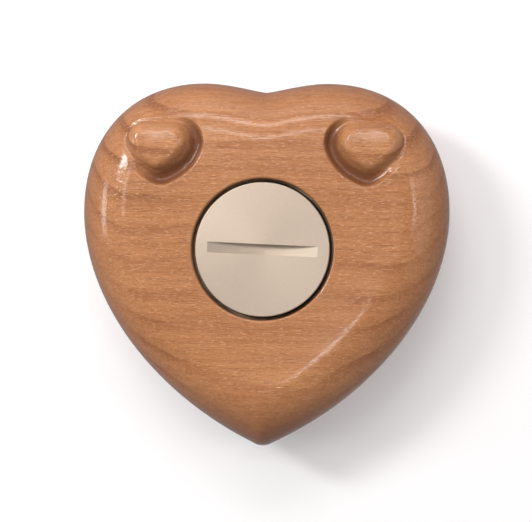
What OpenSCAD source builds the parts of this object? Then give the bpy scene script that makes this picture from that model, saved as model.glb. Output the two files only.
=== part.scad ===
// Heart-shaped wooden music box with an 18 note movement, wound by turning a slotted disc with a coin.
// It lies on its felt pads with the carved face up. Millimetres.

/* [Wooden body] */
// Width across the two lobes
body_w = 100; // [98:1:108]
// Length from the tip to the tops of the lobes
body_l = 98.8; // [97:0.2:106]
// Thickness of the wood between its two flat faces
body_t = 35.8; // [35.4:0.1:40]
// How far in the rounded upper edge reaches
top_round = 14.5; // [10:0.5:15]
// How far down the rounded upper edge reaches
top_drop = 13; // [9:0.5:15]
// Radius of the rounded lower edge
low_round = 5.5; // [3:0.5:6]
// Wall left round the cavity
wall = 7; // [6.5:0.1:7.5]

/* [Carved hearts] */
// Width of a carved heart at its foot
boss_w = 16; // [12:0.5:17]
// Length of a carved heart at its foot
boss_l = 12.4; // [10:0.2:13]
// Height of a carved heart above the face
boss_h = 2.6; // [1:0.1:3.5]
// Depth of the scooped moat round it
moat_d = 1.7; // [0.8:0.1:2]
// Width of the moat
moat_w = 4.2; // [2:0.1:4.5]
// Distance of each carved heart from the centre line
boss_x = 28.1; // [26:0.1:29]
// Height of the carved hearts above the middle of the body
boss_y = 31; // [29:0.1:31.5]

/* [Winding disc and its recess] */
// Height of the disc's centre above the middle of the body
disc_y = 4; // [2:0.1:5]
// Diameter of the disc
disc_d = 35.6; // [34:0.1:36]
// Thickness of the disc
disc_t = 4.6; // [4.4:0.1:4.8]
// Gap between the disc and the wall of the recess
disc_gap = 1.03; // [0.5:0.01:1.5]
// Depth of the recess
recess_d = 6; // [5.8:0.1:6.5]
// Wood left under the recess
floor_t = 3.5; // [3:0.1:4]
// Length of the coin slot
slot_l = 29.6; // [24:0.1:31]
// Width of the coin slot
slot_w = 2.8; // [2:0.1:3.2]
// Depth of the coin slot in its middle
slot_d = 3.2; // [2:0.1:3.2]
// Angle of the coin slot at rest
slot_turn = -2; // [-90:1:90]

/* [Base] */
// Thickness of the plywood base plate
base_t = 4; // [3:0.1:4]
// Gap between the base plate and the cavity wall
base_gap = 0.15; // [0.1:0.05:0.3]
// Diameter of a felt pad
pad_d = 9; // [6:0.5:11]
// Height of a felt pad
pad_h = 1.2; // [1:0.1:2]
// Diameter of the middle sound hole
sound_d = 8; // [7.5:0.1:10]

/* [Movement] */
// Angle of the movement in the body
movement_turn = 18; // [16:0.5:20]
// Thickness of the bedplate
plate_t = 2.5; // [2.5:0.1:3]
// Radius of the melody cylinder
cylinder_r = 6.5; // [6:0.1:6.5]
// How far the pins stand out of the cylinder
pin_h = 0.6; // [0.4:0.05:0.6]
// Number of comb teeth
notes = 18; // [12:1:18]
// Turns of the mainspring in its case
spring_turns = 6; // [4:1:8]

/* [Hidden] */

$fn = 64;
e = 0.01;

// Levels of the body above the table
z_low = pad_h;
z_face = pad_h + body_t;
z_recess = z_face - recess_d;
z_ceiling = z_recess - floor_t;
z_base_top = z_low + base_t;
// The movement hangs below its bedplate, whose lower face is the movement's own zero
z_plate = z_ceiling - plate_t;

// Half a heart, from its tip to its cleft, as Bezier pieces in halves of its width and length
HEART = [
    [[0, -1], [0.03, -1], [0.044, -0.989], [0.07, -0.976]],
    [[0.07, -0.976], [0.64, -0.695], [1, -0.18], [1, 0.29]],
    [[1, 0.29], [1, 0.71], [0.745, 1], [0.335, 1]],
    [[0.335, 1], [0.2, 1], [0.04, 0.95], [0, 0.95]]
];
body_steps = [2, 16, 12, 6];
boss_steps = [1, 7, 6, 4];

// The foot of a carved heart spreads by this share of the moat's width
boss_skirt = 0.12;

recess_r = disc_d / 2 + disc_gap;
bore_clear = 0.03;
thread_clear = 0.02;

// Places of the fasteners and pads
base_screw_spots = [[0, -36], [32, -8.5], [-32, -8.5], [36.3, 28.5], [-36.3, 28.5]];
// The posts stand a little further out than their screws, so that they join the wall
post_spots = 1.04 * base_screw_spots;
post_r = 4.6;
pad_spots = [[30, 22], [-30, 22], [15, -22], [-15, -22]];
sound_spot = [-22, 8];
sound_ring_r = 8.6;
sound_ring_d = 3.4;
movement_screw_spots = [[14.5, 6.8], [14.5, -6.8], [-5.1, 13.8], [-5.1, -13.8]];
base_screw_r = 1.45;
base_screw_head_r = 2.8;
base_screw_head_h = 1.5;
base_screw_l = 12;
movement_screw_r = 1.25;
movement_screw_head_r = 2.3;
movement_screw_head_h = 1.3;

// Movement: u runs along the cylinder, v across it, and z is up from the bedplate's lower face
axis_z = -7.5;
lug_in = [13.2, 14.2];
barrel_u = [14.8, 31.1];
gear_u = [31.5, 32.7];
lug_out = [33.4, 34.2];
cap_t = 1.2;
cylinder_arbor_r = 0.75;
cylinder_arbor_u = [11, 34.9];

// Crown wheel on the winding arbor and the cylinder's pinion
crown_module = 0.5;
crown_teeth = 48;
crown_r = crown_module * crown_teeth / 2;
crown_face = 1.4;
crown_pinion_teeth = 12;
crown_pinion_r = crown_module * crown_pinion_teeth / 2;

// Cylinder gear and governor pinion
train_module = 0.45;
train_teeth = 30;
train_pinion_teeth = 10;
governor_v = -train_module * (train_teeth + train_pinion_teeth) / 2;
governor_arbor_r = 0.6;

// Worm wheel and worm
worm_module = 0.36;
worm_wheel_teeth = 20;
worm_wheel_r = worm_module * worm_wheel_teeth / 2;
worm_wheel_t = 0.7;
worm_u = 35.3;
worm_r = 0.85;
worm_wave = 0.3;
worm_l = 5;
worm_shaft_r = 0.5;
worm_gap = 0.1;
worm_v = governor_v + worm_wheel_r + worm_r + worm_gap;

// Governor frame
cheek_t = 0.8;
cheek_u = [33.2, 36.6];
frame_top = -14;
fly_z = [-17.2, -14.6];
fly_r = 3;

// Spring case, arbor and mainspring
case_r = 10.5;
case_t = 0.6;
case_z = [-17.6, -2.4];
leg_angles = [135, 225, 315];
leg_r = 13.6;
leg_w = 3;
arbor_r = 2;
arbor_barrel_r = 2.6;
arbor_collar_r = 3.15;
arbor_stub_r = 1.5;
wheel_hub_r = 3.2;
pivot_r = 1.25;
hub_r = 4;
hub_z = 3.2;

// Comb
comb_pitch = 0.9;
comb_u0 = 14.9;
tip_gap = 0.15;
comb_tip_v = cylinder_r + pin_h + tip_gap;
comb_pad_v = [15.5, 22.5];
comb_slit = 0.2;
comb_z = [-7.8, -7.2];
comb_heel_z = -8.8;
comb_screw_spots = [[19, 19.2], [27, 19.2]];

// ---- outlines ----

function bezier(p, t) =
    pow(1 - t, 3) * p[0] + 3 * pow(1 - t, 2) * t * p[1] + 3 * (1 - t) * t * t * p[2] + pow(t, 3) * p[3];

function half_heart(w, l, steps) = [
    for (k = [0:3])
        for (i = [0:steps[k] - (k == 3 ? 0 : 1)])
            let (p = bezier(HEART[k], i / steps[k])) [p.x * w / 2, p.y * l / 2]
];

function outward(p, i) =
    i == 0 ? [0, -1]
    : i == len(p) - 1 ? [0, 1]
    : let (d = p[i + 1] - p[i - 1]) [d.y, -d.x] / norm(d);

// Half an outline moved in by a distance, mitred where its two halves meet at the tip
function half_inset(p, s) =
    let (
        q = [for (i = [0:len(p) - 1]) p[i] - s * outward(p, i)],
        crossed = [for (i = [1:floor(len(p) / 2)]) if (q[i].x <= 0) i],
        k = len(crossed) == 0 ? 0 : max(crossed),
        a = q[k],
        b = q[k + 1],
        y = k == 0 ? a.y : a.y - (b.y - a.y) * a.x / (b.x - a.x)
    )
    [[0, y], for (i = [k + 1:len(q) - 1]) q[i]];

function both_halves(p) = concat(p, [for (i = [len(p) - 2:-1:1]) [-p[i].x, p[i].y]]);

function angle_table(p, centre) = [
    for (q = p) let (d = q - centre) [q.x < e ? sign(d.y) * 90 : atan2(d.y, d.x), norm(d)]
];

function body_half() = half_heart(body_w, body_l, body_steps);

// One level of the body: the outline moved in by s, on the same rays from the disc's centre
function body_ring(half, s, z) =
    let (
        c = [0, disc_y],
        rays = [for (r = angle_table(half, c)) r[0]],
        table = angle_table(half_inset(half, s), c),
        right = [for (a = rays) let (r = lookup(a, table)) c + r * [cos(a), sin(a)]]
    )
    [for (q = both_halves(right)) [q.x, q.y, z]];

module heart_plate(inset) {
    polygon(both_halves(half_inset(body_half(), inset)));
}

// A closed solid through a list of rings with the same number of points, from the lowest ring up
module ring_stack(rings) {
    n = len(rings[0]);
    m = len(rings);
    sides = [
        for (j = [0:m - 2])
            for (i = [0:n - 1])
                let (a = j * n + i, b = j * n + (i + 1) % n, c = b + n, d = a + n)
                    each [[a, d, c], [a, c, b]]
    ];
    low = [for (i = [0:n - 1]) i];
    high = [for (i = [n - 1:-1:0]) (m - 1) * n + i];
    polyhedron([for (r = rings) each r], concat([low], sides, [high]), convexity = 6);
}

// ---- wooden body ----

module body_blank() {
    half = body_half();
    low = [for (a = [0:30:90]) [low_round * (1 - sin(a)), z_low + low_round * (1 - cos(a))]];
    high = [for (a = [0, 20, 36, 50, 62, 73, 82, 90])
        [top_round * (1 - cos(a)), z_face - top_drop * (1 - sin(a))]];
    ring_stack([for (l = concat(low, high)) body_ring(half, l[0], l[1])]);
}

// Radius of a carved heart's foot, as a table by angle
function boss_table() = angle_table(half_heart(boss_w, boss_l, boss_steps), [0, 0]);

function boss_rays() =
    let (t = boss_table())
    concat([for (r = t) r], [for (i = [len(t) - 2:-1:1]) [180 - t[i][0], t[i][1]]]);

function boss_ring(scale, out, z) = [
    for (r = boss_rays()) let (q = (r[1] * scale + out) * [cos(r[0]), sin(r[0])]) [q.x, q.y, z]
];

// Everything above a carved heart and its moat
module boss_cutter() {
    top = [[0.7, boss_h], [0.82, 0.94 * boss_h], [0.91, 0.74 * boss_h], [0.97, 0.4 * boss_h], [1, 0]];
    cove = [[boss_skirt, -0.6], [0.3, -0.95], [0.5, -1], [0.72, -0.75], [0.88, -0.4], [1, 0]];
    ring_stack(concat(
        [for (p = top) boss_ring(p[0], 0, p[1])],
        [for (p = cove) boss_ring(1, p[0] * moat_w, p[1] * moat_d)],
        [boss_ring(1, moat_w, 2 * boss_h + 1)]
    ));
}

module boss_block() {
    translate([0, 0, -2 * moat_d])
        linear_extrude(2 * moat_d + boss_h + 0.5)
            polygon([for (p = boss_ring(1, boss_skirt * moat_w, 0)) [p.x, p.y]]);
}

module at_bosses() {
    for (side = [-1, 1])
        translate([side * boss_x, boss_y, z_face]) children();
}

module cavity() {
    difference() {
        translate([0, 0, z_low - 1]) linear_extrude(z_ceiling - z_low + 1) heart_plate(wall);
        for (p = post_spots)
            translate([p.x, p.y, z_base_top]) cylinder(r = post_r, h = body_t);
    }
}

module body() {
    color("peru") difference() {
        union() {
            body_blank();
            at_bosses() boss_block();
        }
        at_bosses() boss_cutter();
        cavity();
        translate([0, disc_y, z_recess]) cylinder(r = recess_r, h = recess_d + 1);
        translate([0, disc_y, z_ceiling - 1]) cylinder(r = hub_r + 0.5, h = floor_t + 2);
        for (p = base_screw_spots)
            translate([p.x, p.y, z_low]) cylinder(r = base_screw_r + thread_clear, h = base_screw_l + 0.5);
        in_movement() for (p = movement_screw_spots) {
            translate([p.x, p.y, plate_t - 1]) cylinder(r = movement_screw_r + 0.15, h = floor_t + 2);
            translate([p.x, p.y, plate_t + floor_t]) mirror([0, 0, 1])
                countersink(movement_screw_head_r, movement_screw_r, movement_screw_head_h);
        }
    }
}

module base_plate() {
    color("burlywood") difference() {
        translate([0, 0, z_low]) linear_extrude(base_t) heart_plate(wall + base_gap);
        for (p = base_screw_spots) {
            translate([p.x, p.y, z_low - 1]) cylinder(r = base_screw_r + 0.15, h = base_t + 2);
            translate([p.x, p.y, z_low])
                countersink(base_screw_head_r, base_screw_r, base_screw_head_h);
        }
        translate([sound_spot.x, sound_spot.y, z_low - 1]) {
            cylinder(d = sound_d, h = base_t + 2);
            for (a = [0:60:300])
                rotate(a) translate([sound_ring_r, 0, 0]) cylinder(d = sound_ring_d, h = base_t + 2);
        }
    }
}

module foot_pad(i) {
    color("dimgray") translate([pad_spots[i].x, pad_spots[i].y, 0])
        rotate_extrude() polygon([[0, 0], [pad_d / 2 - 0.3, 0], [pad_d / 2, 0.3], [pad_d / 2, pad_h], [0, pad_h]]);
}

// The hole for a countersunk head whose face is at zero
module countersink(head_r, r, head_h) {
    rotate_extrude() polygon([
        [0, -e], [head_r + 0.1, -e], [head_r + 0.1, 0.3], [r + 0.15, head_h + 0.15], [0, head_h + 0.15]
    ]);
}

// A countersunk screw with its head's face at zero and its point up, with a cross recess
module countersunk(head_r, r, l, head_h) {
    difference() {
        rotate_extrude()
            polygon([[0, 0], [head_r, 0], [head_r, 0.2], [r, head_h], [r, l - r], [r / 3, l], [0, l]]);
        for (a = [0, 90])
            rotate(a) translate([-0.6 * head_r, -0.12 * head_r, -1]) cube([1.2 * head_r, 0.24 * head_r, 1.9]);
    }
}

module base_screws() {
    color("goldenrod") for (p = base_screw_spots)
        translate([p.x, p.y, z_low]) countersunk(base_screw_head_r, base_screw_r, base_screw_l, base_screw_head_h);
}

module recess_felt() {
    color("black") translate([0, disc_y, z_recess]) difference() {
        cylinder(r = recess_r - 0.4, h = 0.5);
        translate([0, 0, -1]) cylinder(r = hub_r + 1, h = 3);
    }
}

// ---- movement ----

module in_movement() {
    translate([0, disc_y, z_plate]) rotate(movement_turn) children();
}

// Turns a piece drawn along Z so that it runs along u, from u0, on an axis at v and z
module along_u(u0, v, z) {
    translate([u0, v, z]) rotate([90, 0, 90]) children();
}

module movement_screws() {
    color("silver") in_movement() for (p = movement_screw_spots)
        translate([p.x, p.y, plate_t + floor_t]) mirror([0, 0, 1]) countersunk(
            movement_screw_head_r, movement_screw_r, floor_t + plate_t - 0.3, movement_screw_head_h);
}

module bedplate_outline() {
    polygon([
        [-12.5, -14], [-10.5, -16], [17, -16], [20, -13.5], [37, -13.5], [39, -11.5],
        [39, 21.5], [37, 23.5], [14, 23.5], [10, 17], [-10.5, 17], [-12.5, 15]
    ]);
}

module bedplate() {
    color("gainsboro") in_movement() difference() {
        union() {
            linear_extrude(plate_t) bedplate_outline();
            translate([lug_in[0], -3, axis_z - 2]) cube([lug_in[1] - lug_in[0], 6, e - axis_z + 2]);
            translate([lug_out[0], -1.3, axis_z - 2]) cube([lug_out[1] - lug_out[0], 4.8, e - axis_z + 2]);
            translate([comb_u0, comb_pad_v[0], comb_z[1]])
                cube([notes * comb_pitch, comb_pad_v[1] - comb_pad_v[0], e - comb_z[1]]);
        }
        translate([0, 0, -1]) cylinder(r = wheel_hub_r - 0.2, h = plate_t + 2);
        along_u(lug_in[0] - 1, 0, axis_z) cylinder(r = cylinder_arbor_r + bore_clear, h = 25);
        for (p = movement_screw_spots)
            translate([p.x, p.y, -1]) cylinder(r = movement_screw_r + thread_clear, h = plate_t + 2);
        for (p = comb_screw_spots)
            translate([p.x, p.y, comb_z[1] - 1]) cylinder(r = 1 + thread_clear, h = 5.5);
        translate([worm_u, governor_v - 2.2, -1]) cylinder(r = 0.8 + thread_clear, h = 2.8);
        translate([worm_u, worm_v, -1]) cylinder(r = worm_shaft_r + bore_clear, h = 1.8);
        for (a = leg_angles)
            rotate(a) translate([leg_r - 0.05, -leg_w / 2 - 0.05, -1]) cube([1.1, leg_w + 0.1, 2.1]);
    }
}

module arbor_bush() {
    color("gold") in_movement() rotate_extrude() polygon([
        [arbor_r + bore_clear, -0.3], [4, -0.3], [4, 0], [wheel_hub_r - 0.2, 0],
        [wheel_hub_r - 0.2, plate_t], [arbor_r + bore_clear, plate_t]
    ]);
}

module spring_case() {
    color("silver") in_movement() {
        difference() {
            translate([0, 0, case_z[0]]) cylinder(r = case_r, h = case_z[1] - case_z[0]);
            translate([0, 0, case_z[0] + case_t]) cylinder(r = case_r - case_t, h = 30);
            translate([0, 0, case_z[0] - 1]) cylinder(r = pivot_r + bore_clear, h = 3);
        }
        for (a = leg_angles) rotate(a) {
            translate([case_r - 0.3, -leg_w / 2, axis_z]) cube([leg_r + 1 - case_r + 0.3, leg_w, 1]);
            translate([leg_r, -leg_w / 2, axis_z]) cube([1, leg_w, 1 - axis_z]);
        }
    }
}

module mainspring() {
    steps = 20 * spring_turns;
    strip = 0.35;
    r0 = arbor_barrel_r + 0.6;
    r1 = case_r - case_t - 0.2;
    function at(i, out) = let (a = 360 * spring_turns * i / steps, r = r0 + (r1 - r0 - strip) * i / steps + out)
        r * [cos(a), sin(a)];
    color("steelblue") in_movement() translate([0, 0, case_z[0] + 1.4]) linear_extrude(9.4)
        polygon(concat([for (i = [0:steps]) at(i, 0)], [for (i = [steps:-1:0]) at(i, strip)]));
}

module winding_arbor() {
    color("lightsteelblue") in_movement() rotate_extrude() polygon([
        [0, case_z[0] + 0.1], [pivot_r, case_z[0] + 0.1], [pivot_r, case_z[0] + 1.2],
        [arbor_barrel_r, case_z[0] + 1.2], [arbor_barrel_r, -5.4], [arbor_collar_r, -5.4],
        [arbor_collar_r, -3.2], [arbor_r, -3.2], [arbor_r, hub_z], [arbor_stub_r, hub_z],
        [arbor_stub_r, hub_z + 4.2], [0, hub_z + 4.2]
    ]);
}

module winding_disc() {
    top = plate_t + floor_t + recess_d - 0.2;
    under = top - disc_t;
    r = disc_d / 2;
    cutter_r = (pow(slot_l / 2, 2) + slot_d * slot_d) / (2 * slot_d);
    color("tan") in_movement() rotate(slot_turn - movement_turn) difference() {
        rotate_extrude($fn = 128) polygon([
            [0, hub_z], [hub_r, hub_z], [hub_r, under], [r - 0.4, under], [r, under + 0.4],
            [r, top - 0.4], [r - 0.4, top], [0, top]
        ]);
        translate([0, 0, hub_z - 1]) cylinder(r = arbor_stub_r + thread_clear, h = 5.4);
        translate([0, slot_w / 2, top + cutter_r - slot_d]) rotate([90, 0, 0])
            cylinder(r = cutter_r, h = slot_w, $fn = 256);
    }
}

// Teeth with straight flanks and plenty of backlash, one centred on angle zero
module gear_outline(teeth, module_mm, tall) {
    pitch = PI * module_mm;
    r = teeth * module_mm / 2;
    root_r = r - tall * 1.35;
    tip_r = r + tall;
    root_w = 0.5 * pitch * 90 / (PI * root_r);
    tip_w = 0.17 * pitch * 90 / (PI * tip_r);
    polygon([
        for (i = [0:teeth - 1])
            let (a = 360 * i / teeth)
                each [
                    root_r * [cos(a - root_w), sin(a - root_w)],
                    tip_r * [cos(a - tip_w), sin(a - tip_w)],
                    tip_r * [cos(a + tip_w), sin(a + tip_w)],
                    root_r * [cos(a + root_w), sin(a + root_w)]
                ]
    ]);
}

module great_wheel() {
    rim_in = crown_r - crown_face / 2 - 0.1;
    rim_out = crown_r + crown_face / 2 + 0.1;
    pitch_z = axis_z + crown_pinion_r;
    root_z = pitch_z + 0.6;
    tip_z = pitch_z - 0.4;
    pitch = PI * crown_module;
    color("goldenrod") in_movement() {
        rotate_extrude() polygon([
            [arbor_r + 0.05, -0.4], [wheel_hub_r, -0.4], [wheel_hub_r, -0.6], [rim_out, -0.6],
            [rim_out, root_z], [rim_in, root_z], [rim_in, -1.4], [wheel_hub_r, -1.4],
            [wheel_hub_r, -3.1], [arbor_r + 0.05, -3.1]
        ]);
        for (i = [0:crown_teeth - 1])
            rotate(360 * i / crown_teeth) along_u(crown_r - crown_face / 2, 0, 0)
                linear_extrude(crown_face) polygon([
                    [-0.26 * pitch, root_z + 0.1], [-0.26 * pitch, root_z],
                    [-0.1 * pitch, tip_z], [0.1 * pitch, tip_z],
                    [0.26 * pitch, root_z], [0.26 * pitch, root_z + 0.1]
                ]);
    }
}

module clutch_spring() {
    wire_r = 0.33;
    color("dimgray") in_movement() for (i = [0:6])
        translate([0, 0, -1.75 - 0.56 * i]) rotate_extrude()
            translate([wheel_hub_r + wire_r + 0.02, 0]) circle(r = wire_r, $fn = 24);
}

// ---- cylinder ----

module pin_pegs() {
    for (k = [0:notes - 1])
        for (j = [0:3])
            along_u(comb_u0 + (k + 0.5) * comb_pitch, 0, axis_z)
                rotate((k * 77 + j * 93 + j * j * 31) % 360) translate([cylinder_r - 0.7, 0, 0])
                    rotate([0, 90, 0]) cylinder(r = 0.2, h = 0.7 + pin_h, $fn = 16);
}

module cylinder_barrel() {
    color("gold") in_movement() difference() {
        along_u(barrel_u[0], 0, axis_z) difference() {
            cylinder(r = cylinder_r, h = barrel_u[1] - barrel_u[0]);
            translate([0, 0, -1]) cylinder(r = cylinder_r - 0.6, h = 30);
        }
        pin_pegs();
    }
}

module cylinder_pins() {
    color("silver") in_movement() pin_pegs();
}

module cylinder_cap(u0) {
    color("khaki") in_movement() along_u(u0, 0, axis_z) difference() {
        cylinder(r = cylinder_r - 0.71, h = cap_t);
        translate([0, 0, -1]) cylinder(r = cylinder_arbor_r, h = cap_t + 2);
    }
}

module cylinder_arbor() {
    color("lightsteelblue") in_movement() along_u(cylinder_arbor_u[0], 0, axis_z)
        cylinder(r = cylinder_arbor_r, h = cylinder_arbor_u[1] - cylinder_arbor_u[0]);
}

// A gear on an arbor that runs along u, with its first tooth turned from the v direction
module arbor_gear(teeth, module_mm, tall, bore_r, u0, face, v, turn) {
    in_movement() along_u(u0, v, axis_z) difference() {
        rotate(turn) linear_extrude(face) gear_outline(teeth, module_mm, tall);
        translate([0, 0, -1]) cylinder(r = bore_r, h = face + 2);
    }
}

module cylinder_pinion() {
    color("darkkhaki") arbor_gear(crown_pinion_teeth, crown_module, 0.36, cylinder_arbor_r,
        crown_r - crown_face / 2, crown_face, 0, 90 + 180 / crown_pinion_teeth);
}

module cylinder_gear() {
    color("ivory") arbor_gear(train_teeth, train_module, 0.38, cylinder_arbor_r,
        gear_u[0], gear_u[1] - gear_u[0], 0, 0);
}

// ---- governor ----

module governor_frame() {
    u1 = cheek_u[1] + cheek_t;
    color("silver") in_movement() difference() {
        union() {
            for (u = cheek_u) {
                translate([u, governor_v - 2.5, axis_z - 3]) cube([cheek_t, -1.8 - governor_v + 2.5, 3 - axis_z]);
                translate([u, -6.3, frame_top]) cube([cheek_t, 4.5, 5]);
            }
            translate([cheek_u[0], -6.3, frame_top]) cube([u1 - cheek_u[0], 4.5, cheek_t]);
            translate([cheek_u[0], governor_v - 3.6, -cheek_t])
                cube([u1 - cheek_u[0], -1.8 - governor_v + 3.6, cheek_t]);
        }
        along_u(cheek_u[0] - 1, governor_v, axis_z) cylinder(r = governor_arbor_r + bore_clear, h = 8);
        translate([worm_u, worm_v, frame_top - 1]) cylinder(r = worm_shaft_r + bore_clear, h = 3);
        translate([worm_u, worm_v, -2]) cylinder(r = 0.9, h = 3);
        translate([worm_u, governor_v - 2.2, -2]) cylinder(r = 0.85, h = 3);
    }
}

// A cheese head screw with its head below zero and its shank above
module cheese_screw(head_r, head_h, r, l) {
    difference() {
        union() {
            translate([0, 0, -head_h]) cylinder(r = head_r, h = head_h);
            cylinder(r = r, h = l);
        }
        translate([-head_r, -head_r / 8, -head_h - 1]) cube([2 * head_r, head_r / 4, 1 + head_h / 2]);
    }
}

module governor_screw() {
    color("gray") in_movement() translate([worm_u, governor_v - 2.2, -cheek_t]) cheese_screw(1.2, 1, 0.8, 2.4);
}

module governor_arbor() {
    color("lightsteelblue") in_movement() along_u(31.1, governor_v, axis_z)
        cylinder(r = governor_arbor_r, h = 6.5);
}

module governor_pinion() {
    color("darkkhaki") arbor_gear(train_pinion_teeth, train_module, 0.38, governor_arbor_r,
        gear_u[0], gear_u[1] - gear_u[0], governor_v, 180 / train_pinion_teeth);
}

module worm_wheel() {
    color("ivory") arbor_gear(worm_wheel_teeth, worm_module, 0.26, governor_arbor_r,
        worm_u - worm_wheel_t / 2, worm_wheel_t, governor_v, 0);
}

module worm() {
    lead = PI * worm_module;
    turns = worm_l / lead;
    color("gray") in_movement() translate([worm_u, worm_v, axis_z]) {
        translate([0, 0, -worm_l / 2])
            rotate(90 - 180 * turns)
                linear_extrude(worm_l, twist = -360 * turns, slices = 56, segments = 18)
                    translate([worm_wave, 0]) circle(r = worm_r, $fn = 18);
        translate([0, 0, frame_top - axis_z - 3]) cylinder(r = worm_shaft_r, h = 0.7 - frame_top + 3);
    }
}

module fly() {
    color("white") in_movement() translate([worm_u, worm_v, fly_z[0]]) difference() {
        union() {
            cylinder(r = 1.1, h = fly_z[1] - fly_z[0]);
            for (a = [0, 180])
                rotate(a) translate([0.8, -0.15, 0]) cube([fly_r - 0.8, 0.3, fly_z[1] - fly_z[0]]);
        }
        translate([0, 0, -1]) cylinder(r = worm_shaft_r, h = 6);
    }
}

// ---- comb ----

module comb() {
    u1 = comb_u0 + notes * comb_pitch;
    color("slategray") in_movement() difference() {
        union() {
            translate([comb_u0, comb_tip_v, comb_z[0]])
                cube([u1 - comb_u0, comb_pad_v[1] - comb_tip_v, comb_z[1] - comb_z[0]]);
            translate([comb_u0, comb_pad_v[0] + 0.5, comb_heel_z])
                cube([u1 - comb_u0, comb_pad_v[1] - comb_pad_v[0] - 0.5, comb_z[1] - comb_heel_z]);
        }
        for (k = [0:notes])
            translate([comb_u0 + k * comb_pitch - comb_slit / 2, comb_tip_v - 1, comb_z[0] - 1])
                cube([comb_slit, comb_pad_v[0] - comb_tip_v + 1 - 0.14 * k, 3]);
        for (p = comb_screw_spots)
            translate([p.x, p.y, comb_heel_z - 1]) cylinder(r = 1.1, h = 5);
    }
}

module comb_weights() {
    color("dimgray") in_movement() for (k = [0:5])
        translate([comb_u0 + k * comb_pitch + 0.15, comb_tip_v + 0.4, comb_z[1]])
            cube([comb_pitch - 0.3, 2.6 - 0.25 * k, 1.2 - 0.1 * k]);
}

module comb_screws() {
    color("gray") in_movement() for (p = comb_screw_spots)
        translate([p.x, p.y, comb_heel_z]) cheese_screw(2, 1.3, 1, 5);
}

body();
base_plate();
foot_pad(0);  // foot_pad_1
foot_pad(1);  // foot_pad_2
foot_pad(2);  // foot_pad_3
foot_pad(3);  // foot_pad_4
base_screws();
recess_felt();
movement_screws();
bedplate();
arbor_bush();
spring_case();
mainspring();
comb();
comb_weights();
comb_screws();
governor_frame();
governor_screw();
great_wheel();
clutch_spring();
winding_disc();
winding_arbor();
cylinder_barrel();
cylinder_pins();
cylinder_cap(barrel_u[0] + 0.1);  // cylinder_cap_inner
cylinder_cap(barrel_u[1] - 0.1 - cap_t);  // cylinder_cap_outer
cylinder_arbor();
cylinder_pinion();
cylinder_gear();
governor_arbor();
governor_pinion();
worm_wheel();
worm();
fly();
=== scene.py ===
"""The looks of a heart-shaped wooden music box with a coin-slot winding disc, in metres."""

import math

import bpy
import numpy as np
from mathutils import Matrix, Vector


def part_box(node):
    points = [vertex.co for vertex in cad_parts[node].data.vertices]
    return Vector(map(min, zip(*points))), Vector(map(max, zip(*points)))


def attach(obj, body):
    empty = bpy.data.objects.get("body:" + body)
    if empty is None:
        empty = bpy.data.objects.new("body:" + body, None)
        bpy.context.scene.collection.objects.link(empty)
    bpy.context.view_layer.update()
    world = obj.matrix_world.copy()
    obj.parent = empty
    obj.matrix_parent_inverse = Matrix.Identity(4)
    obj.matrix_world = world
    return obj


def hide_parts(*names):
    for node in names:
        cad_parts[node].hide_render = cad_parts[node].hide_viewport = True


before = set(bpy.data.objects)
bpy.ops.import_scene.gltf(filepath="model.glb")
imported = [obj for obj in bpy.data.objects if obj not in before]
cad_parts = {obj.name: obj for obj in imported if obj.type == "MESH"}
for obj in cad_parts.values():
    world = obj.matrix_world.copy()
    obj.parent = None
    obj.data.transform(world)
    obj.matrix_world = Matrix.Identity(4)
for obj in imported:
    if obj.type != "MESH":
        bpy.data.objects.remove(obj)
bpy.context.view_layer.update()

MM = 0.001

# ---- sizes, from the CAD model ----

BODY_LO, BODY_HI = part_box("body")
DISC_LO, DISC_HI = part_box("winding_disc")
FELT_LO, FELT_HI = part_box("recess_felt")
FELT_CLEAR = 0.4 * MM
DISC_SINK = 0.2 * MM

WIDTH = BODY_HI.x - BODY_LO.x
LENGTH = BODY_HI.y - BODY_LO.y
DISC_Y = (FELT_LO.y + FELT_HI.y) / 2
DISC_R = (DISC_HI.x - DISC_LO.x) / 2
RECESS_R = (FELT_HI.x - FELT_LO.x) / 2 + FELT_CLEAR
BORE_R = 4.5 * MM
Z_LOW = BODY_LO.z
Z_FACE = DISC_HI.z + DISC_SINK
Z_RECESS = FELT_LO.z
Z_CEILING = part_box("bedplate")[1].z
Z_BASE_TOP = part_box("base_plate")[1].z

# The shape of the wood. The moats are scooped a little deeper than the CAD model's
TOP_ROUND = 14.5 * MM
TOP_DROP = 13 * MM
LOW_ROUND = 5.5 * MM
WALL = 7 * MM
RIM_FILLET = 0.5 * MM
BOSS_W = 16 * MM
BOSS_L = 12.4 * MM
BOSS_H = BODY_HI.z - Z_FACE
BOSS_X = 28.1 * MM
BOSS_Y = 31 * MM
MOAT_D = 2.2 * MM
MOAT_W = 4.2 * MM
MOAT_RIM = 0.4 * MM
GROOVE_D = 0.45 * MM
# From the right carved heart towards the disc
TO_DISC = (-0.8, -0.6)

# The screws' places in millimetres: from the heart's centre, and from the arbor along the movement
BASE_SCREW_SPOTS = ((0, -36), (32, -8.5), (-32, -8.5), (36.3, 28.5), (-36.3, 28.5))
POST_SPREAD = 1.04
POST_R = 4.6 * MM
PILOT_R = 1.47 * MM
PILOT_L = 12.5 * MM
MOVEMENT_TURN = math.radians(18)
MOVEMENT_SCREW_SPOTS = ((14.5, 6.8), (14.5, -6.8), (-5.1, 13.8), (-5.1, -13.8))
SCREW_HOLE_R = 1.4 * MM
COUNTERSINK_R = 2.4 * MM
COUNTERSINK_LOW = 1.45 * MM
COUNTERSINK_HIGH = 0.3 * MM

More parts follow.
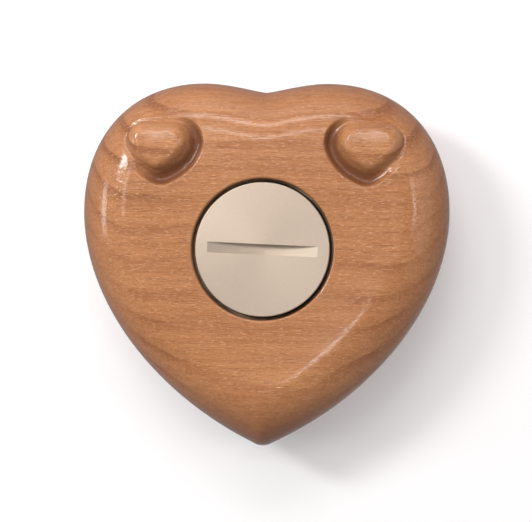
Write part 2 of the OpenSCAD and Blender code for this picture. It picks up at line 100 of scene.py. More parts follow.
# The disc
DISC_T = 4.6 * MM
DISC_DOME = 0.1 * MM
DISC_EDGE = 0.25 * MM
HUB_R = 4 * MM
HUB_BORE_R = 1.52 * MM
HUB_BORE_L = 4.4 * MM
SLOT_L = 29.6 * MM
SLOT_W = 2.8 * MM
SLOT_D = 3.2 * MM
SLOT_TURN = math.radians(-2)

# Half a heart, from its tip to its cleft, as Bezier pieces in halves of its width and length
HEART = (
    ((0, -1), (0.03, -1), (0.044, -0.989), (0.07, -0.976)),
    ((0.07, -0.976), (0.64, -0.695), (1, -0.18), (1, 0.29)),
    ((1, 0.29), (1, 0.71), (0.745, 1), (0.335, 1)),
    ((0.335, 1), (0.2, 1), (0.04, 0.95), (0, 0.95)),
)


def half_heart(width, length, steps):
    """The right half of a heart from its tip to its cleft, as an array of points."""
    t = np.linspace(0, 1, steps + 1)[:, None]
    pieces = []
    for corners in HEART:
        a, b, c, d = np.array(corners, float)
        pieces.append((1 - t) ** 3 * a + 3 * (1 - t) ** 2 * t * b + 3 * (1 - t) * t * t * c + t**3 * d)
    joined = np.vstack([p[:-1] for p in pieces[:-1]] + [pieces[-1]])
    return joined * (width / 2, length / 2)


def half_inset(half, inset):
    """Half an outline moved in, mitred where its two halves meet at the tip."""
    along = np.gradient(half, axis=0)
    along[0] = (1, 0)
    along[-1] = (-1, 0)
    outward = np.column_stack([along[:, 1], -along[:, 0]])
    outward /= np.linalg.norm(outward, axis=1)[:, None]
    moved = half - inset * outward
    crossed = [i for i in range(1, len(half) // 2) if moved[i, 0] <= 0]
    if not crossed:
        return moved
    k = crossed[-1]
    a, b = moved[k], moved[k + 1]
    tip = (0, a[1] - (b[1] - a[1]) * a[0] / (b[0] - a[0]))
    return np.vstack([tip, moved[k + 1 :]])


def reach(half, centre_y, angles):
    """How far a symmetric outline is from a point on its axis, in each direction."""
    x, y = half[:, 0], half[:, 1] - centre_y
    table_angle = np.arctan2(y, np.maximum(x, 0))
    table_angle[0], table_angle[-1] = -math.pi / 2, math.pi / 2
    right = np.arcsin(np.clip(np.sin(angles), -1, 1))
    return np.interp(right, table_angle, np.hypot(x, y))


# ---- meshes ----


def new_object(name, verts, faces, smooth_angle=30):
    """A mesh object whose edges sharper than an angle stay sharp."""
    mesh = bpy.data.meshes.new(name)
    mesh.from_pydata([tuple(v) for v in verts], [], [tuple(f) for f in faces])
    mesh.validate()
    obj = bpy.data.objects.new(name, mesh)
    bpy.context.scene.collection.objects.link(obj)
    mesh.shade_smooth()
    mesh.set_sharp_from_angle(angle=math.radians(smooth_angle))
    return obj


def closed_grid(name, rings, smooth_angle=30):
    """A ring of rings, closed both ways."""
    m, n = len(rings), len(rings[0])
    j, i = np.meshgrid(np.arange(m), np.arange(n), indexing="ij")
    a = j * n + i
    b = j * n + (i + 1) % n
    c = (j + 1) % m * n + (i + 1) % n
    d = (j + 1) % m * n + i
    faces = np.stack([a, d, c, b], -1).reshape(-1, 4)
    return new_object(name, np.concatenate(rings), faces, smooth_angle)


def lathe(name, profile, centre, segments=128, smooth_angle=30):
    """A turned solid. The profile runs from the axis to the axis, or round a ring, anticlockwise."""
    hollow = min(r for r, z in profile) > 0
    angles = np.linspace(0, 2 * math.pi, segments, endpoint=False)
    verts, faces, rows = [], [], []
    for r, z in profile:
        if r > 0:
            rows.append([len(verts) + k for k in range(segments)])
            verts += [(centre[0] + r * math.cos(t), centre[1] + r * math.sin(t), z) for t in angles]
        else:
            rows.append([len(verts)] * segments)
            verts.append((centre[0], centre[1], z))
    if hollow:
        rows.append(rows[0])
    for low, high in zip(rows, rows[1:]):
        for k in range(segments):
            ring = [low[k], low[(k + 1) % segments], high[(k + 1) % segments], high[k]]
            face = [v for at, v in enumerate(ring) if v not in ring[:at]]
            if len(face) > 2:
                faces.append(face)
    return new_object(name, verts, faces, smooth_angle)


def cut(obj, tool, operation="DIFFERENCE"):
    """Cuts a tool out of obj, or joins it on, and removes the tool."""
    change = obj.modifiers.new("cut", "BOOLEAN")
    change.operation = operation
    change.solver = "MANIFOLD"
    change.object = tool
    apply_modifiers(obj)
    bpy.data.objects.remove(tool)


def apply_modifiers(obj):
    """Gives an object the mesh that its modifiers make, and no modifiers."""
    bpy.context.view_layer.update()
    made = obj.evaluated_get(bpy.context.evaluated_depsgraph_get())
    mesh = bpy.data.meshes.new_from_object(made)
    obj.modifiers.clear()
    obj.data = mesh


def rod(centre, radius, z0, z1, segments=48):
    """A plain upright cylinder, for a cutter or a post."""
    return lathe("rod", [(0, z0), (radius, z0), (radius, z1), (0, z1)], centre, segments)


def around(steps, *stops):
    """Angles in radians, from stop to stop, with a step in degrees for each stretch."""
    out = []
    for (a, b), size in zip(zip(stops, stops[1:]), steps):
        out += list(np.linspace(a, b, max(1, round((b - a) / size)), endpoint=False))
    return np.radians(out)


# ---- the carved top ----


def boss_top(scale):
    """Height of a carved heart, as a share, from its centre (0) to its foot (1)."""
    flat, crown = 0.64, 0.05
    edge = np.clip((scale - flat) / (1 - flat), 0, 1)
    return np.clip(1 - edge**2.2, 0, 1) ** 0.8 * (1 - crown * np.minimum(scale / flat, 1) ** 2)


def moat_depth(out):
    """Depth of the moat, as a share, from a carved heart's foot (0) to the moat's rim (1) and beyond."""
    deepest = 0.6
    inner = 1 - np.clip((deepest - out) / deepest, 0, 1) ** 1.7
    outer = 1 - np.clip((out - deepest) / (1 - deepest), 0, 3) ** 2
    return np.where(out < deepest, inner, outer)


def boss_foot():
    """The foot's radius by angle: a heart whose tip and cleft are well rounded, as carved by hand."""
    angles = np.radians(np.arange(-180, 180))
    radius = reach(half_heart(BOSS_W, BOSS_L, 40), 0, angles)
    softness = 8.5
    spread = np.arange(-30, 31)
    weight = np.exp(-0.5 * (spread / softness) ** 2)
    weight /= weight.sum()
    soft = sum(w * np.roll(radius, k) for w, k in zip(weight, spread))
    return angles, soft


def soft_min(a, b, blend):
    """The lower of two heights, with the corner between them rounded over a blend."""
    near = np.maximum(blend - np.abs(a - b), 0) / blend
    return np.minimum(a, b) - near * near * blend / 4


def carved(x, y, z):
    """The height of the top with the two hearts and their moats in it."""
    foot_angle, foot_radius = boss_foot()
    drop = z - Z_FACE
    for side in (-1, 1):
        dx, dy = side * x - BOSS_X, y - BOSS_Y
        r = np.hypot(dx, dy)
        foot = np.interp(np.arctan2(dy, dx), foot_angle, foot_radius, period=2 * math.pi)
        # The moat is deep and crisp towards the disc, and only a soft groove is left on the slope
        towards = (TO_DISC[0] * dx + TO_DISC[1] * dy) / np.maximum(r, MM)
        crisp = np.clip(0.2 + 1.1 * towards, 0, 1)
        out = (r - foot) / (MOAT_W * (0.6 + 0.45 * crisp))
        scooped = -MOAT_D * (0.08 + 0.92 * crisp) * moat_depth(np.maximum(out, 0))
        groove = GROOVE_D * np.exp(-(((out - 0.32) / 0.24) ** 2)) * (1 - crisp)
        lower = soft_min(drop, scooped, MOAT_RIM) - groove
        t = np.clip((out - 0.02) / 0.3, 0, 1)
        skirt = t * t * (3 - 2 * t)
        moat = scooped + (lower - scooped) * skirt
        drop = np.where(r < foot, BOSS_H * boss_top(r / foot), moat)
    return Z_FACE + drop


def body_rings():
    """The wooden body as rings round the disc's axis, from the bore out over the top and back."""
    fine, coarse = 0.3, 0.85
    hair = 0.01 * MM
    angles = around((coarse, fine, coarse, fine, coarse, coarse), -90, 20, 70, 110, 160, 270)
    half = half_heart(WIDTH, LENGTH, 160)
    circle = np.ones(len(angles))

    def inset(s):
        return reach(half_inset(half, s), DISC_Y, angles)

    levels = [(BORE_R * circle, Z_CEILING), (BORE_R * circle, Z_RECESS - hair)]
    levels += [(r * circle, Z_RECESS) for r in np.linspace(BORE_R + hair, RECESS_R - hair, 4)]
    fillet_z = Z_FACE - RIM_FILLET
    levels += [(RECESS_R * circle, z) for z in np.linspace(Z_RECESS + hair, fillet_z, 5)]
    for a in np.radians((22, 45, 68, 90)):
        r = RECESS_R + RIM_FILLET * (1 - math.cos(a))
        levels.append((r * circle, fillet_z + RIM_FILLET * math.sin(a)))
    ridge = inset(TOP_ROUND)
    start = RECESS_R + RIM_FILLET
    for t in np.linspace(0, 1, 58)[1:-1]:
        levels.append((start + (ridge - start) * t, Z_FACE))
    for a in np.radians(np.linspace(90, 0, 52)):
        s = TOP_ROUND * (1 - math.cos(a))
        levels.append((inset(s), Z_FACE - TOP_DROP * (1 - math.sin(a))))
    for z in np.linspace(Z_FACE - TOP_DROP, Z_LOW + LOW_ROUND, 7)[1:]:
        levels.append((inset(0), z))
    for a in np.radians(np.linspace(0, 90, 11)[1:]):
        levels.append((inset(LOW_ROUND * (1 - math.cos(a))), Z_LOW + LOW_ROUND * (1 - math.sin(a))))
    levels.append((inset(WALL - 0.2 * MM), Z_LOW))
    for z in np.linspace(Z_LOW + 0.2 * MM, Z_CEILING, 5):
        levels.append((inset(WALL), z))
    for t in (0.25, 0.5, 0.75):
        levels.append((inset(WALL) + (BORE_R - inset(WALL)) * t, Z_CEILING))
    rings = []
    for r, z in levels:
        x, y = r * np.cos(angles), DISC_Y + r * np.sin(angles)
        top = z > Z_FACE - TOP_DROP and r.min() > RECESS_R + 0.5 * RIM_FILLET
        rings.append(np.column_stack([x, y, carved(x, y, z) if top else z * circle]))
    return rings


# ---- materials ----


class Material:
    """A procedural material, with short calls for the nodes that the looks use."""

    def __init__(self, name, **sockets):
        self.material = bpy.data.materials.new(name)
        self.material.use_nodes = True
        self.tree = self.material.node_tree
        self.shader = self.tree.nodes["Principled BSDF"]
        self.place = self.node("ShaderNodeTexCoord").outputs["Object"]
        self.set(**sockets)

    def node(self, kind, inputs=None, **settings):
        made = self.tree.nodes.new(kind)
        for key, value in settings.items():
            setattr(made, key, value)
        for key, value in (inputs or {}).items():
            self.join(made.inputs[key], value)
        return made

    def join(self, socket, value):
        if isinstance(value, bpy.types.NodeSocket):
            self.tree.links.new(value, socket)
        elif isinstance(value, tuple) and len(value) == 3 and socket.type == "RGBA":
            socket.default_value = (*value, 1)
        else:
            socket.default_value = value

    def set(self, **sockets):
        for key, value in sockets.items():
            self.join(self.shader.inputs[key.replace("_", " ")], value)

    def math(self, operation, a, b=0.0):
        return self.node("ShaderNodeMath", {0: a, 1: b}, operation=operation).outputs[0]

    def times(self, *values):
        """The product of sockets and numbers."""
        product = values[0]
        for value in values[1:]:
            product = self.math("MULTIPLY", product, value)
        return product

    def vector(self, operation, a, b):
        made = self.node("ShaderNodeVectorMath", {0: a, 1: b}, operation=operation)
        return made.outputs["Value" if operation == "LENGTH" else "Vector"]

    def noise(self, per_metre, detail=3.0, rough=0.5, warp=0.0):
        """Noise with a number of features per metre along X, Y and Z."""
        scaled = self.vector("MULTIPLY", self.place, per_metre)
        made = self.node(
            "ShaderNodeTexNoise",
            {"Vector": scaled, "Scale": 1.0, "Detail": detail, "Roughness": rough, "Distortion": warp},
        )
        return made.outputs["Fac"]

    def ramp(self, value, low, high, to_low=0.0, to_high=1.0):
        """A smooth step from to_low to to_high while the value goes from low to high."""
        made = self.node(
            "ShaderNodeMapRange",
            {"Value": value, "From Min": low, "From Max": high, "To Min": to_low, "To Max": to_high},
            interpolation_type="SMOOTHSTEP",
        )
        return made.outputs["Result"]

    def mix(self, share, a, b):
        """Colour a, with a share of colour b over it."""
        made = self.node("ShaderNodeMix", data_type="RGBA")
        self.join(made.inputs[0], share)
        self.join(made.inputs[6], a)
        self.join(made.inputs[7], b)
        return made.outputs[2]

    def bump(self, height, distance, under=None):
        """The normal of a relief that is a distance high, over another normal if one is given."""
        inputs = {"Height": height, "Distance": distance, "Strength": 1.0}
        if under is not None:
            inputs["Normal"] = under
        return self.node("ShaderNodeBump", inputs).outputs["Normal"]


def growth_lines(m, across):
    """The dark lines of late wood, as a share: strong on the slopes and faint in the middle."""
    years_per_metre = 205.0
    slow = m.noise((9, 22, 22), detail=2)
    wander = m.noise((30, 160, 160), detail=2)
    pith = m.vector("MULTIPLY", m.vector("ADD", m.place, (0.02, 0.06, 0.06)), (0.16, 1, 1))
    depth = m.vector("LENGTH", pith, (0, 0, 0))
    depth = m.math("ADD", depth, m.times(slow, 0.012))
    depth = m.math("ADD", depth, m.times(wander, 0.0011))
    year = m.math("FRACT", m.times(depth, years_per_metre))
    rise = m.ramp(year, 0.5, 0.92)
    fall = m.ramp(year, 0.93, 1.0, 1.0, 0.0)
    strong = m.ramp(m.noise((5, 45, 45), detail=2), 0.34, 0.56, 0.25, 1.0)
    slope = m.ramp(across, 0.014, 0.034, 0.25, 1.0)
    return m.times(rise, fall, strong, slope)


def moat_painted_shade(m, place, across):
    """Painted shade in the moats, darker towards the disc where the carved hearts' shadow falls, as a
    share.
    """
    dx, dy = m.math("SUBTRACT", across, BOSS_X), m.math("SUBTRACT", place["Y"], BOSS_Y)
    dist = m.math("SQRT", m.math("ADD", m.times(dx, dx), m.times(dy, dy)))
    lean = m.math("ADD", m.times(dx, TO_DISC[0]), m.times(dy, TO_DISC[1]))
    towards = m.ramp(m.math("DIVIDE", lean, dist), -0.2, 0.6)
    low = m.ramp(place["Z"], Z_FACE - 1.8 * MM, Z_FACE + 0.4 * MM, 1.0, 0.0)
    near = m.ramp(dist, 11 * MM, 13.5 * MM, 0.85, 0.0)
    return m.times(towards, low, near)


def wood():
    """Cherry under gloss lacquer. The pith runs along X, below the heart and beyond its tip."""
    m = Material(
        "lacquered_cherry", Coat_Weight=0.9, Coat_Roughness=0.11, Coat_IOR=1.42, Specular_IOR_Level=0.1
    )
    place = m.node("ShaderNodeSeparateXYZ", {0: m.place}).outputs
    across = m.math("ABSOLUTE", place["X"])
    patches = m.noise((14, 40, 40), detail=2)
    fibre = m.noise((26, 900, 900), detail=4, rough=0.6)
    fine = m.noise((170, 3000, 3000), detail=2, rough=0.6)
    pores = m.ramp(m.noise((330, 4200, 4200), detail=1), 0.62, 0.72)
    flecks = m.ramp(m.noise((650, 2700, 2700), detail=1, rough=0.7), 0.56, 0.7)
    specks = m.ramp(m.noise((800, 3100, 3100), detail=1, rough=0.7), 0.3, 0.44, 1.0, 0.0)
    colour = m.mix(m.ramp(patches, 0.3, 0.7), (0.45, 0.192, 0.076), (0.53, 0.242, 0.102))
    layers = [
        (m.times(growth_lines(m, across), 0.95), (0.22, 0.07, 0.025)),
        (m.ramp(fibre, 0.32, 0.7, 0.0, 0.5), (0.30, 0.115, 0.04)),
        (m.ramp(fine, 0.45, 0.75, 0.0, 0.5), (0.55, 0.28, 0.13)),
        (m.times(pores, 0.42), (0.17, 0.058, 0.02)),
        (m.times(specks, 0.42), (0.26, 0.098, 0.035)),
        (m.times(flecks, 0.42), (0.68, 0.37, 0.18)),
        # Painted shade: the steep sides, the tip and the moats are darker
        # Painted shade on the steep sides, darker lower down
        (m.ramp(place["Z"], 0.026, 0.0385, 0.7, 0.0), (0.235, 0.08, 0.038)),
        # Painted shade towards the tip, whose slopes face away from the light
        (m.ramp(place["Y"], -0.047, -0.03, 0.6, 0.0), (0.2, 0.075, 0.036)),
        # Painted shade: the moats darkened towards the disc, where the hearts' shadow falls
        (moat_painted_shade(m, place, across), (0.15, 0.052, 0.022)),
    ]
    for share, shade in layers:
        colour = m.mix(share, colour, shade)
    relief = m.math("SUBTRACT", m.math("ADD", fine, m.times(flecks, 0.6)), pores)
    m.set(
        Base_Color=colour,
        Roughness=m.ramp(fibre, 0.2, 0.8, 0.36, 0.56),
        Normal=m.bump(relief, 0.00004),
        Coat_Normal=m.bump(relief, 0.000018, under=m.bump(m.noise((60, 260, 260), detail=1), 0.00004)),
    )
    return m.material


def bare_wood():
    """The unlacquered wood of the recess and the cavity."""
    m = Material("bare_cherry")
    fibre = m.noise((30, 800, 800), detail=3)
    pores = m.ramp(m.noise((330, 4200, 4200), detail=1), 0.6, 0.7)
    colour = m.mix(fibre, (0.44, 0.28, 0.17), (0.56, 0.38, 0.24))
    m.set(
        Base_Color=m.mix(m.times(pores, 0.7), colour, (0.16, 0.09, 0.05)),
        Roughness=m.ramp(fibre, 0, 1, 0.7, 0.9),
        Normal=m.bump(m.math("SUBTRACT", fibre, pores), 0.00006),
    )
    return m.material


def disc_metal():
    """Champagne nickel with a satin face, turning marks and faint scratches from coins."""
    m = Material("champagne_nickel", Metallic=1.0, Anisotropic=0.26, Anisotropic_Rotation=0.25)
    m.set(Tangent=m.node("ShaderNodeTangent", direction_type="RADIAL", axis="Z").outputs[0])
    flat = m.vector("MULTIPLY", m.vector("ADD", m.place, (0, -DISC_Y, 0)), (1, 1, 0))
    radius = m.vector("LENGTH", flat, (0, 0, 0))
    rings_per_metre = 2600.0
    rings = m.node(
        "ShaderNodeTexNoise",
        {"W": m.times(radius, rings_per_metre), "Scale": 1.0, "Detail": 2.0},
        noise_dimensions="1D",
    ).outputs["Fac"]
    cloud = m.noise((60, 60, 60), detail=3)
    satin = m.noise((4200, 4200, 4200), detail=2)
    scratch = m.ramp(m.noise((900, 6500, 900), detail=1, warp=0.6), 0.66, 0.74)
    colour = m.mix(cloud, (0.5, 0.416, 0.33), (0.555, 0.474, 0.378))
    height = m.math("ADD", m.times(rings, 0.35), satin)
    m.set(
        Base_Color=m.mix(m.times(scratch, 0.3), colour, (0.78, 0.72, 0.63)),
        Roughness=m.math("ADD", m.ramp(cloud, 0.25, 0.75, 0.46, 0.52), m.times(satin, 0.05)),
        Normal=m.bump(m.math("SUBTRACT", height, scratch), 0.000007),
    )
    return m.material


def metal(name, colour, roughness, marks, depth=2e-6):
    """Metal with streaks, clouding and fine wear. marks is the streaks' features per metre."""
    m = Material(name, Metallic=1.0)
    tint = 0.12
    streak = m.noise(marks, detail=3)
    cloud = m.noise((90, 90, 90), detail=3)
    dark = tuple(c * (1 - 2 * tint) for c in colour)
    light = tuple(min(1, c * (1 + tint)) for c in colour)
    shade = m.math("ADD", m.times(streak, 0.5), m.times(cloud, 0.5))
    m.set(
        Base_Color=m.mix(m.ramp(shade, 0.3, 0.7), dark, light),
        Roughness=m.ramp(shade, 0.25, 0.75, roughness - 0.06, roughness + 0.09),
        Normal=m.bump(streak, depth),
    )
    return m.material


def plywood():
    """Sanded birch plywood: a plain veneer on its faces, and glued plies at its edges and holes."""
    m = Material("birch_plywood")
    ply_thickness = 1.333 * MM
    fibre = m.noise((35, 700, 700), detail=4, rough=0.6)
    cloud = m.noise((20, 70, 70), detail=2)
    pores = m.ramp(m.noise((260, 3400, 3400), detail=1), 0.63, 0.71)
    height = m.node("ShaderNodeSeparateXYZ", {0: m.place}).outputs["Z"]
    ply = m.math("FRACT", m.times(height, 1 / ply_thickness))
    glue = m.ramp(m.math("ABSOLUTE", m.math("SUBTRACT", ply, 0.5)), 0.4, 0.49)
    colour = m.mix(m.ramp(cloud, 0.3, 0.7), (0.55, 0.37, 0.21), (0.64, 0.455, 0.275))
    colour = m.mix(m.ramp(fibre, 0.35, 0.75, 0.0, 0.45), colour, (0.45, 0.285, 0.15))
    colour = m.mix(m.times(pores, 0.5), colour, (0.33, 0.19, 0.09))
    normal = m.node("ShaderNodeNewGeometry").outputs["Normal"]
    level = m.math("ABSOLUTE", m.node("ShaderNodeSeparateXYZ", {0: normal}).outputs["Z"])
    edge = m.times(glue, m.math("SUBTRACT", 1.0, level))
    m.set(
        Base_Color=m.mix(edge, colour, (0.16, 0.09, 0.045)),
        Roughness=m.ramp(fibre, 0.2, 0.8, 0.5, 0.7),
        Normal=m.bump(m.math("SUBTRACT", fibre, pores), 0.00005),
    )
    return m.material


def felt(name, colour, pale):
    """Pressed felt: matted fibres, with a soft sheen."""
    m = Material(name, Roughness=0.95, Sheen_Weight=0.5, Sheen_Roughness=0.5)
    mat = m.noise((1400, 1400, 1400), detail=4, rough=0.7, warp=1.5)
    fibres = m.noise((5200, 900, 2400), detail=2, warp=2.0)
    share = m.math("ADD", m.times(mat, 0.6), m.times(fibres, 0.4))
    m.set(Base_Color=m.mix(m.ramp(share, 0.35, 0.7), colour, pale), Normal=m.bump(share, 0.00012))
    return m.material


def plastic(name, colour):
    """Moulded nylon with a faint flow pattern."""
    m = Material(name, Subsurface_Weight=0.1, Subsurface_Scale=0.001)
    flow = m.noise((220, 220, 220), detail=3, warp=1.0)
    grain = m.noise((5000, 5000, 5000), detail=1)
    m.set(
        Base_Color=m.mix(flow, tuple(c * 0.88 for c in colour), colour),
        Roughness=m.ramp(flow, 0.3, 0.7, 0.4, 0.52),
        Normal=m.bump(grain, 2e-6),
    )
    return m.material


# ---- pieces ----


def screw_holes(obj):
    """Joins the base screws' posts to the wood, and cuts the holes of all the screws."""
    for x, y in BASE_SCREW_SPOTS:
        place = (POST_SPREAD * x * MM, POST_SPREAD * y * MM)
        cut(obj, rod(place, POST_R, Z_BASE_TOP, Z_CEILING + MM), "UNION")
        cut(obj, rod((x * MM, y * MM), PILOT_R, Z_BASE_TOP - MM, Z_LOW + PILOT_L, 24))
    movement = Matrix.Translation((0, DISC_Y, 0)) @ Matrix.Rotation(MOVEMENT_TURN, 4, "Z")
    low, high = Z_CEILING - MM, Z_RECESS + 0.2 * MM
    hole = [(0, low), (SCREW_HOLE_R, low), (SCREW_HOLE_R, Z_RECESS - COUNTERSINK_LOW)]
    hole += [(COUNTERSINK_R, Z_RECESS - COUNTERSINK_HIGH), (COUNTERSINK_R, high), (0, high)]
    for u, v in MOVEMENT_SCREW_SPOTS:
        x, y, _ = movement @ Vector((u * MM, v * MM, 0))
        cut(obj, lathe("hole", hole, (x, y), 32))


def wooden_body(lacquered, bare):
    """The solid wood with its carved top, lacquered outside and bare in its recess and cavity."""
    obj = closed_grid("wooden_body", body_rings(), 50)
    screw_holes(obj)
    mesh = obj.data
    mesh.materials.clear()
    mesh.materials.append(lacquered)
    mesh.materials.append(bare)
    for face in mesh.polygons:
        x, y, z = face.center
        axis_distance = math.hypot(x, y - DISC_Y)
        in_recess = axis_distance < RECESS_R + 0.02 * MM and z < Z_FACE - 1.5 * RIM_FILLET
        outward = face.normal.x * x + face.normal.y * (y - DISC_Y) > 0
        in_cavity = z < Z_CEILING + 0.1 * MM and abs(face.normal.z) < 0.5 and not outward
        is_ceiling = Z_LOW + MM < z < Z_CEILING + 0.1 * MM and face.normal.z < -0.9
        face.material_index = int(in_recess or in_cavity or is_ceiling)
    mesh.shade_smooth()
    mesh.set_sharp_from_angle(angle=math.radians(50))
    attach(obj, "case")
    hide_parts("body")


def winding_disc(material):
    """The disc with its hub, turned, and then slotted by a round cutter."""
    under, bore_top = DISC_HI.z - DISC_T, DISC_LO.z + HUB_BORE_L
    flat_r = DISC_R - DISC_EDGE
    profile = [(0, bore_top), (HUB_BORE_R, bore_top), (HUB_BORE_R, DISC_LO.z)]
    profile += [(HUB_R, DISC_LO.z), (HUB_R, under), (flat_r, under), (DISC_R, under + DISC_EDGE)]
    for a in np.radians(np.linspace(0, 90, 7)):
        r = DISC_R - DISC_EDGE * (1 - math.cos(a))
        profile.append((r, DISC_HI.z - DISC_DOME - DISC_EDGE * (1 - math.sin(a))))
    for r in np.append(flat_r - 0.04 * MM, np.linspace(flat_r - 0.8 * MM, 0, 10)):
        profile.append((r, DISC_HI.z - DISC_DOME * (r / flat_r) ** 2))
    obj = lathe("slotted_disc", profile, (0, DISC_Y), 160, 35)
    cutter_r = ((SLOT_L / 2) ** 2 + SLOT_D**2) / (2 * SLOT_D)
    cutter = rod((0, 0), cutter_r, -SLOT_W / 2, SLOT_W / 2, 400)
    place = Matrix.Translation((0, DISC_Y, DISC_HI.z + cutter_r - SLOT_D))
    turn = Matrix.Rotation(SLOT_TURN, 4, "Z") @ Matrix.Rotation(math.radians(90), 4, "X")
    cutter.data.transform(place @ turn)
    cut(obj, cutter)
    obj.data.materials.clear()
    obj.data.materials.append(material)
    obj.data.shade_smooth()
    obj.data.set_sharp_from_angle(angle=math.radians(18))
    bevel = obj.modifiers.new("edges", "BEVEL")
    bevel.width = 0.045 * MM
    bevel.segments = 2
    bevel.limit_method = "ANGLE"
    bevel.angle_limit = math.radians(50)
    bevel.harden_normals = True
    apply_modifiers(obj)
    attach(obj, "winder")
    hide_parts("winding_disc")


def felt_piece(name, node, hole_r, material, seed):
    """A die-cut felt disc or ring: its edge bulges and frays a little, and its face is matted."""
    lo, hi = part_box(node)
    centre = ((lo.x + hi.x) / 2, (lo.y + hi.y) / 2)
    outer, thick = (hi.x - lo.x) / 2, hi.z - lo.z
    corner = min(0.3 * MM, thick * 0.4)
    inner = hole_r + (corner if hole_r else 0)
    steep = 75
    profile = [(r, lo.z) for r in np.linspace(inner, outer - corner, 14)]
    for a in np.radians(np.linspace(-steep, steep, 9)):
        rise = (thick / 2) * math.sin(a) / math.sin(math.radians(steep)) * 0.98
        profile.append((outer - corner * (1 - math.cos(a)), (lo.z + hi.z) / 2 + rise))
    profile += [(r, hi.z) for r in np.linspace(outer - corner, inner, 14)]
    if hole_r:
        profile += [(hole_r, hi.z - corner), (hole_r, lo.z + corner)]
    obj = lathe(name, profile, centre, 96, 80)
    fray, matting = 0.1 * MM, 0.05 * MM
    rng = np.random.default_rng(seed)
    for v in obj.data.vertices:
        x, y = v.co.x - centre[0], v.co.y - centre[1]
        r = math.hypot(x, y)
        low = v.co.z < lo.z + 0.02 * MM
        shrink = 1 - rng.uniform(0, fray) / max(r, MM)
        if r > outer - 1.5 * corner:
            v.co.x, v.co.y = centre[0] + x * shrink, centre[1] + y * shrink
        if not low:
            v.co.z = max(lo.z + 0.03 * MM, v.co.z - rng.uniform(0, matting))
    obj.data.materials.append(material)
    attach(obj, "case")
    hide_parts(node)


def dress(material, *nodes):
    """Gives CAD nodes that are shown as they are a material."""
    for name in nodes:
        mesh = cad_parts[name].data
        mesh.materials.clear()
        mesh.materials.append(material)


# ---- light, floor and camera ----


def facing(place, back):
    """A matrix at a place whose Z axis points back, with its Y axis as near to the world's as it goes."""
    right = Vector((0, 1, 0)).cross(back).normalized()
    return Matrix.Translation(place) @ Matrix((right, back.cross(right), back)).transposed().to_4x4()


def softbox(name, lean, size, power, colour=(1, 1, 1), glossy=True):
    """An area light in a direction given as its lean from the vertical in X and Y, in degrees."""
    distance = 0.75
    aim = Vector((0, 0, Z_FACE))
    direction = Vector((math.tan(math.radians(lean[0])), math.tan(math.radians(lean[1])), 1)).normalized()
    place = facing(aim + direction * distance, direction)
    data = bpy.data.lights.new(name, "AREA")
    data.shape = "RECTANGLE"
    data.size, data.size_y = size
    data.energy = power
    data.color = colour
    obj = bpy.data.objects.new(name, data)
    obj.matrix_world = place
    obj.visible_glossy = glossy
    bpy.context.scene.collection.objects.link(obj)


def studio():
    """Softboxes for the reflections that the photograph shows, soft fill light and pale walls."""
    pink = (1, 0.93, 0.95)
    world = bpy.data.worlds.new("studio")
    world.use_nodes = True
    bpy.context.scene.world = world
    nodes, links = world.node_tree.nodes, world.node_tree.links
    background = nodes["Background"]
    background.inputs["Color"].default_value = (1.0, 0.985, 0.97, 1)
    # Pale walls under a darker ceiling
    height = nodes.new("ShaderNodeSeparateXYZ")
    links.new(nodes.new("ShaderNodeTexCoord").outputs["Generated"], height.inputs[0])
    fade = nodes.new("ShaderNodeMapRange")
    links.new(height.outputs["Z"], fade.inputs["Value"])
    fade.inputs["To Min"].default_value = 0.38
    fade.inputs["To Max"].default_value = 0.12
    links.new(fade.outputs["Result"], background.inputs["Strength"])
    softbox("key", (-38, 24), (0.2, 0.11), 2.55)
    softbox("key_fill", (-12, 28), (0.3, 0.25), 0.6, glossy=False)
    softbox("top_wall", (0, 64), (0.6, 0.25), 0.7, colour=pink)
    softbox("top_far", (-3, 40), (0.42, 0.07), 1.15, colour=pink)
    softbox("top_near", (-1, 15), (0.42, 0.08), 0.95, colour=pink)
    softbox("left_far", (-66, 9), (0.13, 0.2), 0.8)
    softbox("left_near", (-24, 8), (0.05, 0.14), 0.2)
    softbox("low_near", (5, -9.5), (0.11, 0.012), 0.32, colour=pink)
    softbox("right_near", (38, 8), (0.07, 0.16), 0.3, colour=pink)
    softbox("right_far", (60, 10), (0.4, 0.4), 0.5)
    view = bpy.context.scene.view_settings
    view.view_transform = "Standard"
    view.look = "None"


def floor():
    """A plain pale floor that the object stands on."""
    m = Material("floor", Roughness=0.8, Emission_Color=(1, 1, 1), Emission_Strength=0.18)
    m.set(Base_Color=m.mix(m.noise((6, 6, 6)), (0.8, 0.8, 0.8), (0.82, 0.82, 0.82)))
    half = 2.0
    corners = [(-half, -half, 0), (half, -half, 0), (half, half, 0), (-half, half, 0)]
    obj = new_object("floor", corners, [(0, 1, 2, 3)])
    obj.data.materials.append(m.material)
    # The lacquer's steep sides would mirror it as a grey rim
    obj.visible_glossy = False


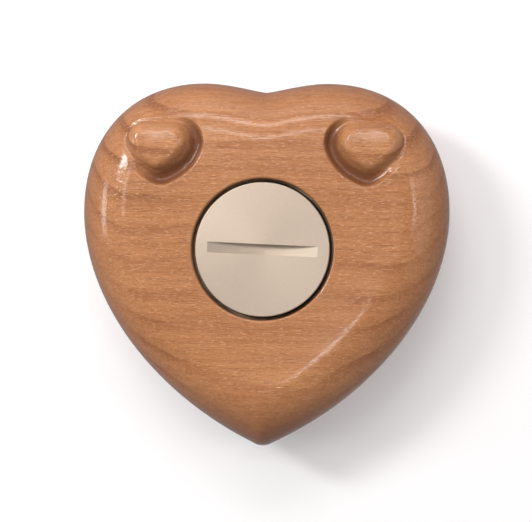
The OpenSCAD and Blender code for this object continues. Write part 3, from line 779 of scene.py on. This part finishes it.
def camera():
    """Straight above the heart and a little to its right."""
    silhouette_z = Z_FACE - TOP_DROP
    target = Vector((0.27 * MM, 0.96 * MM, silhouette_z))
    place = target + Vector((22 * MM, 0, 349.4 * MM))
    data = bpy.data.cameras.new("camera")
    data.sensor_fit = "HORIZONTAL"
    data.angle = math.radians(23.5)
    data.clip_start = 0.01
    obj = bpy.data.objects.new("camera", data)
    roll = Matrix.Rotation(math.radians(0.7), 4, "Z")
    obj.matrix_world = facing(place, (place - target).normalized()) @ roll
    bpy.context.scene.collection.objects.link(obj)
    bpy.context.scene.camera = obj


wooden_body(wood(), bare_wood())
winding_disc(disc_metal())
pad_felt = felt("pad_felt", (0.075, 0.066, 0.06), (0.16, 0.145, 0.13))
for i in range(1, 5):
    felt_piece(f"felt_pad_{i}", f"foot_pad_{i}", 0, pad_felt, i)
# The washer's felt is black as painted shade, so that the gap round the disc reads dark
black_felt = felt("black_felt", (0.028, 0.022, 0.018), (0.06, 0.05, 0.042))
felt_piece("felt_washer", "recess_felt", 5 * MM, black_felt, 9)
dress(plywood(), "base_plate")
dress(metal("brass_screw", (0.62, 0.42, 0.15), 0.3, (900, 900, 4000)), "base_screws")
dress(metal("zinc_plated", (0.55, 0.55, 0.57), 0.32, (1500, 1500, 1500)),
      "movement_screws", "comb_screws", "governor_screw")
dress(metal("cast_zinc", (0.52, 0.52, 0.53), 0.45, (700, 700, 700), depth=1.5e-5), "bedplate")
dress(metal("brass", (0.65, 0.46, 0.18), 0.28, (400, 3500, 3500)),
      "arbor_bush", "great_wheel", "cylinder_barrel", "cylinder_cap_inner", "cylinder_cap_outer",
      "cylinder_pinion", "governor_pinion")
dress(metal("nickel_plated", (0.6, 0.59, 0.57), 0.22, (600, 600, 2500)), "spring_case", "governor_frame")
dress(metal("spring_steel", (0.2, 0.24, 0.32), 0.3, (500, 500, 5000)), "mainspring", "clutch_spring")
dress(metal("comb_steel", (0.42, 0.43, 0.45), 0.33, (3200, 300, 900)), "comb")
dress(metal("lead", (0.17, 0.17, 0.18), 0.6, (800, 800, 800), depth=8e-6), "comb_weights")
dress(metal("arbor_steel", (0.52, 0.52, 0.54), 0.2, (900, 4000, 4000)),
      "winding_arbor", "cylinder_arbor", "governor_arbor", "worm", "cylinder_pins")
dress(plastic("nylon", (0.75, 0.74, 0.7)), "cylinder_gear", "worm_wheel", "fly")

floor()
studio()
camera()

bpy.context.view_layer.update()
